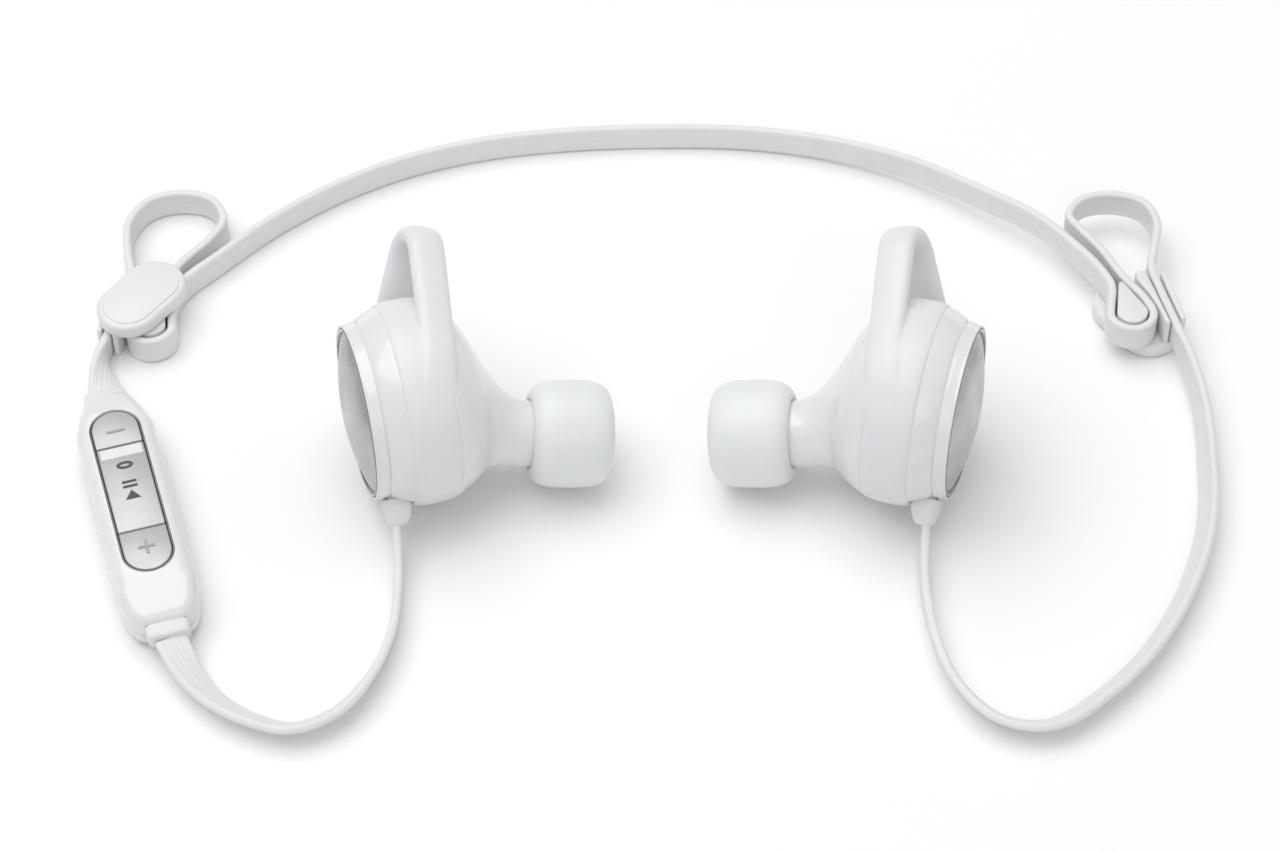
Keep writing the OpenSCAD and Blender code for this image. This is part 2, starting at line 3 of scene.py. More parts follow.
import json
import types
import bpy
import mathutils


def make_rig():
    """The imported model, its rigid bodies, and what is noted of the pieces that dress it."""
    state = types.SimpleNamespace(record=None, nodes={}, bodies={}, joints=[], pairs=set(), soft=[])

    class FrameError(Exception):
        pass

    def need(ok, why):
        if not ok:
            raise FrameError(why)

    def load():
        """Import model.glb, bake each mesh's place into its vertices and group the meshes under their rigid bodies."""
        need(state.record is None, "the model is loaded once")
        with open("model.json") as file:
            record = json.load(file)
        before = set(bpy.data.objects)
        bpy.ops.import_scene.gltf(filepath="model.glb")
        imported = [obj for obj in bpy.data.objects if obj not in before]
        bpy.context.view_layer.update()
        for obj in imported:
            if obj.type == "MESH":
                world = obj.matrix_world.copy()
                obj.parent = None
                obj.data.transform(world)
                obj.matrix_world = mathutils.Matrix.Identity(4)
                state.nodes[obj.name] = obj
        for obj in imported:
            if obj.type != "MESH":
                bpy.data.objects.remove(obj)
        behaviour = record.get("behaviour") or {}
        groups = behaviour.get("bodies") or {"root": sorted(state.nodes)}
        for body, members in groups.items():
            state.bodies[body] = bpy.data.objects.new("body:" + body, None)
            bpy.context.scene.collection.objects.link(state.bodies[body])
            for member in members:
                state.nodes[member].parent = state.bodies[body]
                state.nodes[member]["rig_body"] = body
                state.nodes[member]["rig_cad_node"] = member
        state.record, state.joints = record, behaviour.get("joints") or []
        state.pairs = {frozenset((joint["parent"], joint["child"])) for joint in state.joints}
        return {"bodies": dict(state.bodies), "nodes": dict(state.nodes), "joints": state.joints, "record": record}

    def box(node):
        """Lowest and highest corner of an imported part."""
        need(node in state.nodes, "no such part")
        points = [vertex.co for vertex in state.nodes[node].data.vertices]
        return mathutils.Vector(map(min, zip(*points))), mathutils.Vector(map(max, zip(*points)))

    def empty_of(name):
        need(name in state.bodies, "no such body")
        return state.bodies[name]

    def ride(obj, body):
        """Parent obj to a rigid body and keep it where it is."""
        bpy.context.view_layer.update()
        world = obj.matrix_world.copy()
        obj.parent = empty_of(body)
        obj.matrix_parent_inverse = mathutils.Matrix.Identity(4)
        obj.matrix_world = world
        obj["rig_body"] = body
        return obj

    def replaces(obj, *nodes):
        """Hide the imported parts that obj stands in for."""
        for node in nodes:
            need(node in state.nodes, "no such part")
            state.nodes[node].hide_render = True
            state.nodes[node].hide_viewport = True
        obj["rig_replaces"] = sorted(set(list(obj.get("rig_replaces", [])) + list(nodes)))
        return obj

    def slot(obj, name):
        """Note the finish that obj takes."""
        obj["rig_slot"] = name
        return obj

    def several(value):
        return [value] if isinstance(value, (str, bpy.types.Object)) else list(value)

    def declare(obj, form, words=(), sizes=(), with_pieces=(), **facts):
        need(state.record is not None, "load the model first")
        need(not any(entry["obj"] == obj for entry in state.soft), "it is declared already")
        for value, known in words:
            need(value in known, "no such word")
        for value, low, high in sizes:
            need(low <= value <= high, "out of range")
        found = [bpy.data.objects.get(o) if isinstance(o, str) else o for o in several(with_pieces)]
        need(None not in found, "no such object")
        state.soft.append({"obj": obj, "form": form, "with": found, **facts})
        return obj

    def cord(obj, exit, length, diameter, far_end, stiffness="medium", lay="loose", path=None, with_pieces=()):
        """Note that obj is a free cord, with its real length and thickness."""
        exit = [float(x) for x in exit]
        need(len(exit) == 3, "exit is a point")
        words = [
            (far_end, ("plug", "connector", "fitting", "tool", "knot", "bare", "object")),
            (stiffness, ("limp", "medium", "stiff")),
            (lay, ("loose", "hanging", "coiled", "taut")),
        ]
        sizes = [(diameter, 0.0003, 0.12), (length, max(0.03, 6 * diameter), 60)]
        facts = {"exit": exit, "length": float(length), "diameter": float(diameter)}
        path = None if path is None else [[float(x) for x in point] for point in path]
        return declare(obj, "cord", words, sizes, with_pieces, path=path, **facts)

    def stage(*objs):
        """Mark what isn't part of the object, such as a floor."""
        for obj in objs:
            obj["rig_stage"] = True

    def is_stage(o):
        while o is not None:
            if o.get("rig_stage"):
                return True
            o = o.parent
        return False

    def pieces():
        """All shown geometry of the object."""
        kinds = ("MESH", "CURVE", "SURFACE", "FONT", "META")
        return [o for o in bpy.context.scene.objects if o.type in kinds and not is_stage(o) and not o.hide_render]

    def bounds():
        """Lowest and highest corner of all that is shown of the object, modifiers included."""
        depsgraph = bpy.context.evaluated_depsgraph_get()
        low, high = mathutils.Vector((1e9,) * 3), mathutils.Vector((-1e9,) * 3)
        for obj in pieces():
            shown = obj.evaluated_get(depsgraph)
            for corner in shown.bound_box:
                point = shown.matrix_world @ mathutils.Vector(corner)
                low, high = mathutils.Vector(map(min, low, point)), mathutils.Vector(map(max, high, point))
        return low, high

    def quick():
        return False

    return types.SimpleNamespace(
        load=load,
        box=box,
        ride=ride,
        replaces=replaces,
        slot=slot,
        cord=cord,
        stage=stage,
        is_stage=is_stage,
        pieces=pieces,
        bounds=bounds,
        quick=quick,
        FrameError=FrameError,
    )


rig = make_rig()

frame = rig.load()

import json
import math

import bmesh
import bpy
import numpy as np
from mathutils import Matrix, Vector

MM = 0.001
NODES = frame["nodes"]
SCENE = bpy.context.scene
CAD_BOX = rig.bounds()


# ---- Camera ----


def make_camera():
    """Looks down at the front of the object from 50 degrees above the table."""
    data = bpy.data.cameras.new("camera")
    data.lens = 100
    data.sensor_width = 36
    data.shift_x = -0.01664
    data.clip_start = 0.01
    data.clip_end = 20
    camera = bpy.data.objects.new("camera", data)
    camera.location = (0, -0.2685, 0.3252)
    camera.rotation_euler = (math.radians(40), 0, 0)
    SCENE.collection.objects.link(camera)
    SCENE.camera = camera


make_camera()


# ---- Meshes ----


def make_object(name, points, faces, material, crease=35):
    """A mesh object from points in metres, its normals outwards and its edges sharp above an angle."""
    mesh = bpy.data.meshes.new(name)
    mesh.from_pydata(np.asarray(points, float).tolist(), [], [list(f) for f in faces])
    work = bmesh.new()
    work.from_mesh(mesh)
    bmesh.ops.remove_doubles(work, verts=work.verts, dist=2e-7)
    bmesh.ops.recalc_face_normals(work, faces=work.faces)
    work.to_mesh(mesh)
    work.free()
    shade(mesh, crease)
    mesh.materials.append(material)
    made = bpy.data.objects.new(name, mesh)
    SCENE.collection.objects.link(made)
    return made


def shade(mesh, crease):
    """Smooth shading, with edges sharper than the crease angle kept."""
    mesh.shade_smooth()
    mesh.set_sharp_from_angle(angle=math.radians(crease))


def apply_modifiers(piece, crease=35):
    """Replaces a piece's mesh with what its modifiers make of it."""
    graph = bpy.context.evaluated_depsgraph_get()
    mesh = bpy.data.meshes.new_from_object(piece.evaluated_get(graph), depsgraph=graph)
    old = piece.data
    piece.modifiers.clear()
    piece.data = mesh
    bpy.data.meshes.remove(old)
    shade(mesh, crease)


def cut(piece, *cutters):
    """Cuts closed shapes out of a piece."""
    for cutter in cutters:
        step = piece.modifiers.new("cut", "BOOLEAN")
        step.operation = "DIFFERENCE"
        step.solver = "EXACT"
        step.object = cutter
    apply_modifiers(piece)
    if not piece.data.polygons:
        raise RuntimeError(f"the cut left nothing of {piece.name}")
    for cutter in cutters:
        bpy.data.objects.remove(cutter)


def bevel(piece, width, segments=3, angle=40):
    """Rounds a piece's edges and keeps its flat faces flat."""
    step = piece.modifiers.new("bevel", "BEVEL")
    step.width = width * MM
    step.segments = segments
    step.limit_method = "ANGLE"
    step.angle_limit = math.radians(angle)
    step.harden_normals = False
    apply_modifiers(piece)


def mirrored(piece, name):
    """The right-hand copy of a left-hand piece."""
    mesh = piece.data.copy()
    mesh.name = name
    mesh.transform(Matrix.Diagonal((-1, 1, 1, 1)))
    mesh.flip_normals()
    copy = bpy.data.objects.new(name, mesh)
    SCENE.collection.objects.link(copy)
    return copy


def tube_faces(rings, around, closed):
    """Quads between rings of points; closed joins the last ring to the first."""
    faces = []
    for i in range(rings if closed else rings - 1):
        a, b = i * around, ((i + 1) % rings) * around
        faces += [(a + j, a + (j + 1) % around, b + (j + 1) % around, b + j) for j in range(around)]
    return faces


def end_caps(rings, around):
    """Faces that close both ends of a tube of rings."""
    return [list(range(around)), [(rings - 1) * around + j for j in reversed(range(around))]]


def lathe(profile, steps=128, closed=True):
    """Points and faces of a profile of [station, radius] turned about the X axis."""
    turn = np.linspace(0, 2 * math.pi, steps, endpoint=False)
    rings = [np.stack([np.full(steps, x), -r * np.sin(turn), r * np.cos(turn)], 1) for x, r in profile]
    return np.concatenate(rings), tube_faces(len(profile), steps, closed)


def arc(radius, start, end, steps, centre=(0, 0)):
    """Points round a circle, from one angle to another in degrees."""
    turn = np.radians(np.linspace(start, end, steps + 1))
    return [(centre[0] + radius * math.cos(a), centre[1] + radius * math.sin(a)) for a in turn]


def mix(p, q, start, end, u):
    """The point at u on the line that passes p at start and q at end."""
    return p * (end - u) / (end - start) + q * (u - start) / (end - start)


def smooth_line(points, step):
    """A centripetal Catmull-Rom line through points of any dimension; the first three are a place in mm."""
    points = np.asarray(points, float)
    ends = [2 * points[0] - points[1]], [2 * points[-1] - points[-2]]
    all_points = np.concatenate([ends[0], points, ends[1]])
    made = []
    for i in range(len(points) - 1):
        p = all_points[i : i + 4]
        gaps = [max(np.linalg.norm(p[k + 1][:3] - p[k][:3]), 1e-6) ** 0.5 for k in range(3)]
        t = np.concatenate([[0], np.cumsum(gaps)])
        count = max(3, math.ceil(np.linalg.norm(p[2][:3] - p[1][:3]) / step))
        for u in np.linspace(t[1], t[2], count, endpoint=False):
            a = [mix(p[k], p[k + 1], t[k], t[k + 1], u) for k in range(3)]
            b = [mix(a[k], a[k + 1], t[k], t[k + 2], u) for k in range(2)]
            made.append(mix(b[0], b[1], t[1], t[2], u))
    made.append(points[-1])
    return np.array(made)


def turn_by(about_x, about_y, about_z):
    """The rotation matrix of turns about X, then Y, then Z, in degrees."""
    a, b, c = np.radians([about_x, about_y, about_z])
    rx = np.array([[1, 0, 0], [0, np.cos(a), -np.sin(a)], [0, np.sin(a), np.cos(a)]])
    ry = np.array([[np.cos(b), 0, np.sin(b)], [0, 1, 0], [-np.sin(b), 0, np.cos(b)]])
    rz = np.array([[np.cos(c), -np.sin(c), 0], [np.sin(c), np.cos(c), 0], [0, 0, 1]])
    return rz @ ry @ rx


# ---- Materials ----


def finish_of(name, base, rough, grain, relief, spread=0.03, rough_spread=0.08, stretch=(1, 1, 1), **shader):
    """A material with grain in its colour, roughness and bump. grain is in grains per mm."""
    material = bpy.data.materials.new(name)
    material.use_nodes = True
    tree = material.node_tree
    main = tree.nodes["Principled BSDF"]
    for socket, value in shader.items():
        main.inputs[socket.replace("_", " ").title().replace("Ior", "IOR")].default_value = value
    place = tree.nodes.new("ShaderNodeTexCoord")
    scale = tree.nodes.new("ShaderNodeMapping")
    scale.inputs["Scale"].default_value = [grain * s / MM for s in stretch]
    tree.links.new(place.outputs["Object"], scale.inputs["Vector"])
    fine = tree.nodes.new("ShaderNodeTexNoise")
    fine.inputs["Scale"].default_value = 1
    fine.inputs["Detail"].default_value = 3
    tree.links.new(scale.outputs["Vector"], fine.inputs["Vector"])
    broad = tree.nodes.new("ShaderNodeTexNoise")
    broad.inputs["Scale"].default_value = 0.06
    broad.inputs["Detail"].default_value = 2
    tree.links.new(scale.outputs["Vector"], broad.inputs["Vector"])
    tint = tree.nodes.new("ShaderNodeValToRGB")
    tint.color_ramp.elements[0].position = 0.3
    tint.color_ramp.elements[1].position = 0.7
    tint.color_ramp.elements[0].color = [c * (1 - spread) for c in base] + [1]
    tint.color_ramp.elements[1].color = [min(1, c * (1 + spread)) for c in base] + [1]
    tree.links.new(broad.outputs["Fac"], tint.inputs["Fac"])
    tree.links.new(tint.outputs["Color"], main.inputs["Base Color"])
    gloss = tree.nodes.new("ShaderNodeMapRange")
    gloss.inputs["From Min"].default_value = 0.3
    gloss.inputs["From Max"].default_value = 0.7
    gloss.inputs["To Min"].default_value = max(0.02, rough - rough_spread)
    gloss.inputs["To Max"].default_value = rough + rough_spread
    tree.links.new(fine.outputs["Fac"], gloss.inputs["Value"])
    tree.links.new(gloss.outputs["Result"], main.inputs["Roughness"])
    bump = tree.nodes.new("ShaderNodeBump")
    bump.inputs["Strength"].default_value = 1
    bump.inputs["Distance"].default_value = relief * MM
    tree.links.new(fine.outputs["Fac"], bump.inputs["Height"])
    tree.links.new(bump.outputs["Normal"], main.inputs["Normal"])
    return material


WHITE = (0.76, 0.764, 0.772)
FINISHES = {
    "white_shell": finish_of(
        "white_shell", WHITE, 0.24, 5, 0.0012, 0.01, 0.05,
        coat_weight=0.5, coat_roughness=0.08,
    ),
    "disc_metal": finish_of(
        "disc_metal", (0.46, 0.465, 0.475), 0.26, 6, 0.002, 0.08, 0.1,
        metallic=1.0, anisotropic=0.75,
    ),
    "dark_chrome": finish_of("dark_chrome", (0.24, 0.243, 0.25), 0.16, 8, 0.001, 0.06, 0.05, metallic=1.0),
    "steel": finish_of("steel", (0.62, 0.62, 0.63), 0.28, 9, 0.003, 0.06, 0.08, metallic=1.0),
    "clear_silicone": finish_of(
        "clear_silicone", (0.79, 0.794, 0.8), 0.42, 4, 0.003, 0.01, 0.06,
        subsurface_weight=0.35, subsurface_scale=0.0012,
    ),
    "white_silicone": finish_of(
        "white_silicone", WHITE, 0.36, 4, 0.003, 0.01, 0.06,
        subsurface_weight=0.3, subsurface_scale=0.001,
    ),
    "cable_rubber": finish_of("cable_rubber", (0.76, 0.763, 0.772), 0.5, 7, 0.004, 0.015, 0.08),
    "driver_frame": finish_of("driver_frame", (0.05, 0.05, 0.055), 0.45, 6, 0.004, 0.1),
    "diaphragm_film": finish_of("diaphragm_film", (0.6, 0.62, 0.64), 0.25, 5, 0.002, 0.04),
    "copper": finish_of("copper", (0.72, 0.36, 0.2), 0.3, 12, 0.01, 0.1, 0.1, (0.4, 3, 3), metallic=1.0),
    "clip_plastic": finish_of("clip_plastic", WHITE, 0.34, 5, 0.002, 0.012, 0.06),
    "circuit_board": finish_of("circuit_board", (0.02, 0.16, 0.07), 0.4, 2, 0.01, 0.25, 0.12),
    "battery_foil": finish_of("battery_foil", (0.55, 0.56, 0.58), 0.35, 1.5, 0.02, 0.06, 0.12, metallic=0.9),
    "button_silver": finish_of(
        "button_silver", (0.5, 0.505, 0.515), 0.34, 5, 0.002, 0.04, 0.08,
        metallic=0.35,
    ),
    "pad_rubber": finish_of("pad_rubber", (0.5, 0.5, 0.5), 0.6, 4, 0.005, 0.05),
}
PRINT = finish_of("icon_print", (0.07, 0.07, 0.075), 0.5, 6, 0.002, 0.1)
MOULDED = finish_of("moulded_mark", (0.36, 0.365, 0.375), 0.4, 6, 0.002, 0.04, 0.08)
# Lighter grey for a painted highlight: the glint of light along the top edge of the centre key
PAINTED_KEY_HIGHLIGHT = finish_of("key_highlight", (0.74, 0.745, 0.75), 0.22, 6, 0.001, 0.02)


def placed(piece, body, slot, *replaced):
    """Rides a piece on a body, names its material slot and the CAD nodes that it stands for."""
    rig.ride(piece, body)
    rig.slot(piece, slot)
    if replaced:
        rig.replaces(piece, *replaced)
    return piece


# ---- Cords: the cables' routes are the same points as in the CAD source ----

RIBBON_W = 3.8
RIBBON_T = 1.0
CORD_W = RIBBON_W * MM

LEFT_ROUTE = [
    [-30.5, -13.9, 3.4, 0], [-30.2, -17.5, 2.4, 0], [-30.1, -22, 1.95, -3], [-30.6, -28, 2, -12],
    [-32.7, -34, 2, -25], [-36.3, -38.8, 1.9, -38], [-41, -40.9, 1.85, -42],
    [-45.8, -39.6, 1.8, -46], [-50, -36.9, 1.75, -52], [-53.1, -33.3, 2, -68],
    [-55.3, -29.4, 2.9, -88],
]
HEAD_ROUTE = [[-66.2, 6.4, 3, -90], [-66.9, 10.3, 2.6, -45]]
FOLD_IN = [
    [-3.4, 7.5], [-2.1, 4.4], [-2.4, 1.4], [-2.5, -0.9], [-1.4, -2.2], [0.4, -2.6],
    [2, -1.7], [2.6, -0.2], [1.8, 2.2], [-0.6, 5.9], [-2.9, 10.4],
]
FOLD_OUT = [[3.9, 11.9], [3, 7.6], [3.8, 3.6], [4.8, -0.3], [5.5, -3]]
LEFT_LOOP = [[-6, 14.4], [-7.4, 17.6], [-5.7, 21], [-1.9, 22.1], [2.2, 20.8], [4.3, 17]]
RIGHT_LOOP = [[-5.1, 13.7], [-6.4, 16.2], [-4.6, 18.9], [-0.7, 19.7], [2.9, 18.4], [4.3, 15.4]]
NECK_ROUTE = [
    [-54.4, 29.2, 1.9, 0], [-50.6, 33.2, 1.9, 0], [-46.4, 37, 1.9, 0], [-40, 41.6, 1.9, 0],
    [-32, 45.8, 1.9, 0], [-22, 48.9, 1.9, 0], [-11, 50.5, 1.9, 0], [0, 51, 1.9, 0], [11, 50.6, 2, 0],
    [21, 48.6, 2.3, 0], [31, 44.7, 2.8, 0], [40, 38.8, 3.4, 0], [46.4, 34, 3.8, 0], [50.4, 29.4, 3.9, 0],
]
DROP_ROUTE = [
    [63, 12.6, 3.5, -5], [64.2, 6, 2.7, -12], [64.3, -2, 2.1, -20], [63.5, -11, 2, -25],
    [60.8, -20, 2, -30], [56, -29, 1.95, -33], [50, -35.8, 1.9, -38], [43.2, -40.4, 1.85, -42],
    [37.6, -39.6, 1.9, -38], [33.5, -35.2, 2, -27], [31.2, -29, 2, -14], [30.2, -22, 1.95, -3],
    [30.2, -17.5, 2.4, 0], [30.5, -13.9, 3.4, 0],
]
LEFT_POST = (-61.8, 17.4)
RIGHT_POST = (56.8, 17.7)


def folded(post, side, loop, height):
    """The cable's fold through a clip, from the neck side outwards, with its loop of spare cable."""
    return [[post[0] + side * p, post[1] + q, height, 0] for p, q in FOLD_IN + loop + FOLD_OUT]


def ribbon_section():
    """Half-round edges and four shallow lengthwise grooves on both faces: [across, thick] points."""
    half, edge = RIBBON_W / 2, 0.34
    face = np.linspace(half - edge, edge - half, 33)
    groove = sum(np.exp(-(((face - c) / 0.1) ** 2)) for c in (-0.9, -0.3, 0.3, 0.9))
    top = [(w, RIBBON_T / 2 - 0.045 * g) for w, g in zip(face, groove)]
    turn = np.linspace(0.35, math.pi - 0.35, 6)
    left = [(edge - half - edge * math.sin(a), RIBBON_T / 2 * math.cos(a)) for a in turn]
    return top + left + [(-w, -t) for w, t in top] + [(-w, -t) for w, t in left]


def ribbon(name, route):
    """The flat cable along a route of [x, y, z, lean of its width from upright]."""
    line = smooth_line(route, 0.55)
    place = line[:, :3]
    along = np.gradient(place, axis=0)
    along /= np.linalg.norm(along, axis=1)[:, None]
    side = np.cross(along, [0, 0, 1])
    side /= np.linalg.norm(side, axis=1)[:, None]
    up = np.cross(side, along)
    lean = np.radians(line[:, 3])[:, None]
    wide = up * np.cos(lean) + side * np.sin(lean)
    thick = np.cross(along, wide)
    section = ribbon_section()
    points = np.stack([place + w * wide + t * thick for w, t in section], 1).reshape(-1, 3)
    n = len(section)
    faces = tube_faces(len(line), n, False) + end_caps(len(line), n)
    made = make_object(name, points * MM, faces, FINISHES["cable_rubber"], 50)
    return made, place * MM


cable_left, left_line = ribbon("left_cable", LEFT_ROUTE)
placed(cable_left, "root", "cable_rubber", "cable_left")
cable_neck, neck_line = ribbon(
    "neck_cable",
    HEAD_ROUTE
    + folded(LEFT_POST, -1, LEFT_LOOP, 1.9)[::-1]
    + NECK_ROUTE
    + folded(RIGHT_POST, 1, RIGHT_LOOP, 3.9)
    + DROP_ROUTE,
)
placed(cable_neck, "root", "cable_rubber", "cable_neck")


# ---- Ear pieces: X runs along the body's axis from the disc inwards, Z up its face, -Y to the viewer ----

EAR = turn_by(-51, 2, 16.5)


def ear_origin():
    """The disc's centre, from the CAD ring round it, in metres."""
    ring = np.array([v.co for v in NODES["left_disc_ring"].data.vertices]) @ EAR
    low, high = ring.min(0), ring.max(0)
    return EAR @ np.array([high[0] - 0.4 * MM, (low[1] + high[1]) / 2, (low[2] + high[2]) / 2])


ORIGIN = ear_origin()


def ear_points(points):
    """Points of the left ear piece, in mm on its own axes, put in the model's frame."""
    return ORIGIN + MM * np.asarray(points, float) @ EAR.T


def both_sides(name, points, faces, slot, nodes, bodies=("root", "root"), crease=35):
    """A left piece and its mirrored right-hand copy."""
    left = make_object("left_" + name, ear_points(points), faces, FINISHES[slot], crease)
    right = mirrored(left, "right_" + name)
    placed(left, bodies[0], slot, *["left_" + n for n in nodes])
    placed(right, bodies[1], slot, *["right_" + n for n in nodes])
    return left, right


NOZZLE_ANGLE = 11.5
NECK = (19.6, -6.4)
USB_ANGLE = -26


def nozzle_points(points):
    """Points made about the nozzle's axis, in mm from the end of the neck, on the ear piece's axes."""
    return np.array([NECK[0], 0, NECK[1]]) + np.asarray(points, float) @ turn_by(0, NOZZLE_ANGLE, 0).T


def rear_housings():
    """Shell behind the disc: a bright rim band, a fine groove and a flare to the silicone sleeve."""
    outline = (
        [(0.42, 9.97), (-0.1, 9.97), (-0.22, 9.99)]
        + arc(0.12, 200, 60, 8, (-0.2, 10.12))
        + [(0.1, 10.27), (0.4, 10.35), (0.75, 10.43), (1.0, 10.49), (1.09, 10.49)]
        + [(1.15, 10.43), (1.2, 10.36), (1.25, 10.38), (1.31, 10.48), (1.42, 10.58)]
        + [(1.7, 10.75), (2.1, 10.96), (2.6, 11.19), (3.1, 11.39), (3.6, 11.56)]
        + [(3.86, 11.63), (3.92, 11.6)]
        + [(3.92, 10.3), (1.7, 9.6), (1.0, 9.4), (1.0, 0.0), (0.42, 0.0)]
    )
    points, faces = lathe(outline, 160, False)
    for side in ("left", "right"):
        shell = make_object(side + "_rear_shell", ear_points(points), faces, FINISHES["white_shell"], 30)
        cable_slot = box_cutter((0.75, -2.2, -13), (2.95, 2.2, -9))
        boot_pocket = box_cutter((0.35, -2.53, -13), (3.85, 2.53, -10.48))
        cutters = [cable_slot, boot_pocket]
        if side == "left":
            turned = turn_by(USB_ANGLE, 0, 0)
            cutters.append(box_cutter((1.0, -3.75, 6), (3.5, 3.75, 12), turned))
            cutters.append(box_cutter((0.72, -4.48, 9.07), (3.78, 4.48, 13), turned))
        cut(shell, *cutters)
        if side == "right":
            shell.data.transform(Matrix.Diagonal((-1, 1, 1, 1)))
            shell.data.flip_normals()
        placed(shell, "root", "white_shell", side + "_rear_housing")


def box_cutter(low, high, turned=None):
    """A box on the ear piece's axes, to cut with."""
    xs, ys, zs = zip(low, high)
    corners = np.array([[x, y, z] for x in xs for y in ys for z in zs])
    if turned is not None:
        corners = corners @ turned.T
    faces = [(0, 1, 3, 2), (4, 6, 7, 5), (0, 4, 5, 1), (2, 3, 7, 6), (0, 2, 6, 4), (1, 5, 7, 3)]
    return make_object("cutter", ear_points(corners), faces, FINISHES["white_shell"])


def ear_frames():
    """The two ear pieces' own frames, both right-handed."""
    flip = np.diag([-1.0, 1.0, 1.0])
    right_axes = flip @ EAR @ np.diag([1.0, -1.0, 1.0])
    for side, axes, origin in (("left", EAR, ORIGIN), ("right", right_axes, flip @ ORIGIN)):
        frame_matrix = Matrix.Identity(4)
        for i in range(3):
            frame_matrix[i][3] = origin[i]
            for j in range(3):
                frame_matrix[i][j] = axes[i][j]
        yield side, frame_matrix


def spun_finish():
    """Brushed disc: grooves run round the axis, from noise read at the distance from it."""
    material = FINISHES["disc_metal"]
    tree = material.node_tree
    main = tree.nodes["Principled BSDF"]
    place = tree.nodes.new("ShaderNodeTexCoord")
    split = tree.nodes.new("ShaderNodeSeparateXYZ")
    flat = tree.nodes.new("ShaderNodeCombineXYZ")
    tree.links.new(place.outputs["Object"], split.inputs["Vector"])
    tree.links.new(split.outputs["Y"], flat.inputs["Y"])
    tree.links.new(split.outputs["Z"], flat.inputs["Z"])
    reach = tree.nodes.new("ShaderNodeVectorMath")
    reach.operation = "LENGTH"
    tree.links.new(flat.outputs["Vector"], reach.inputs["Vector"])
    rings = tree.nodes.new("ShaderNodeTexNoise")
    rings.noise_dimensions = "1D"
    rings.inputs["Scale"].default_value = 9000
    rings.inputs["Detail"].default_value = 4
    tree.links.new(reach.outputs["Value"], rings.inputs["W"])
    bump = tree.nodes["Bump"]
    bump.inputs["Distance"].default_value = 0.006 * MM
    tree.links.new(rings.outputs["Fac"], bump.inputs["Height"])
    gloss = tree.nodes["Map Range"]
    tree.links.new(rings.outputs["Fac"], gloss.inputs["Value"])
    spin = tree.nodes.new("ShaderNodeTangent")
    spin.direction_type = "RADIAL"
    spin.axis = "X"
    tree.links.new(spin.outputs["Tangent"], main.inputs["Tangent"])


def discs():
    """Domed metal discs in their dark rings."""
    spun_finish()
    disc_r, dome = 9.3, 1.7
    dome_r = (disc_r**2 + dome**2) / (2 * dome)
    half = math.degrees(math.asin(disc_r / dome_r))
    turn = np.radians(np.linspace(0, half, 40))
    face = [(dome_r - dome - 0.1 - dome_r * math.cos(a), dome_r * math.sin(a)) for a in turn]
    disc_profile = face + [(0.02, disc_r + 0.04), (0.4, disc_r + 0.04), (0.4, 0)]
    ring_profile = [
        (0.4, 9.37), (-0.1, 9.37), (-0.25, 9.42), (-0.36, 9.53), (-0.38, 9.62), (-0.36, 9.72),
        (-0.28, 9.83), (-0.14, 9.92), (0.0, 9.95), (0.4, 9.95),
    ]
    for side, matrix in ear_frames():
        for name, profile, slot, node, closed in (
            ("face_disc", disc_profile, "disc_metal", "disc", False),
            ("face_ring", ring_profile, "dark_chrome", "disc_ring", True),
        ):
            points, faces = lathe(profile, 160, closed)
            made = make_object(f"{side}_{name}", points * MM, faces, FINISHES[slot], 30)
            made.matrix_world = matrix
            placed(made, "root", slot, f"{side}_{node}")


NECK_AROUND = 96


def neck_ring(station):
    """A ring round the leaning neck: station along the axis, height of its centre, radius, lean."""
    x, z, r, lean = station
    lean = math.radians(lean)
    turn = np.linspace(0, 2 * math.pi, NECK_AROUND, endpoint=False)
    up = r * np.cos(turn)
    return np.stack([x - up * math.sin(lean), r * np.sin(turn), z + up * math.cos(lean)], 1)


SHOULDER = [
    (9.62, 0, 11.55, 0), (11, -0.25, 10.6, 0), (12.7, -1, 8.8, -1), (14.3, -3.1, 6.2, -5),
    (16.1, -5, 4.5, -9), (18.1, -6.05, 3.95, -NOZZLE_ANGLE), (*NECK, 3.85, -NOZZLE_ANGLE),
]


def front_housings():
    """Shell that narrows from the sleeve to the neck in one smooth curve."""
    outer = smooth_line(SHOULDER, 0.3)
    rings = [(3.95, 0, 11.13, 0), (9.3, 0, 11.13, 0), (9.32, 0, 11.38, 0), (9.4, 0, 11.52, 0), *outer]
    rings += [
        (19.62, NECK[1], 3.6, -NOZZLE_ANGLE), (19.62, NECK[1], 2.66, -NOZZLE_ANGLE),
        (17.5, -5.97, 2.66, -NOZZLE_ANGLE), (16, -5, 3.4, -9),
        (14.1, -3, 5, -5), (12.3, -1, 7.7, 0), (9.6, 0, 10.25, 0), (3.95, 0, 10.25, 0),
    ]
    points = np.concatenate([neck_ring(s) for s in rings])
    faces = tube_faces(len(rings), NECK_AROUND, True)
    both_sides("front_shell", points, faces, "white_shell", ["front_housing"], crease=40)


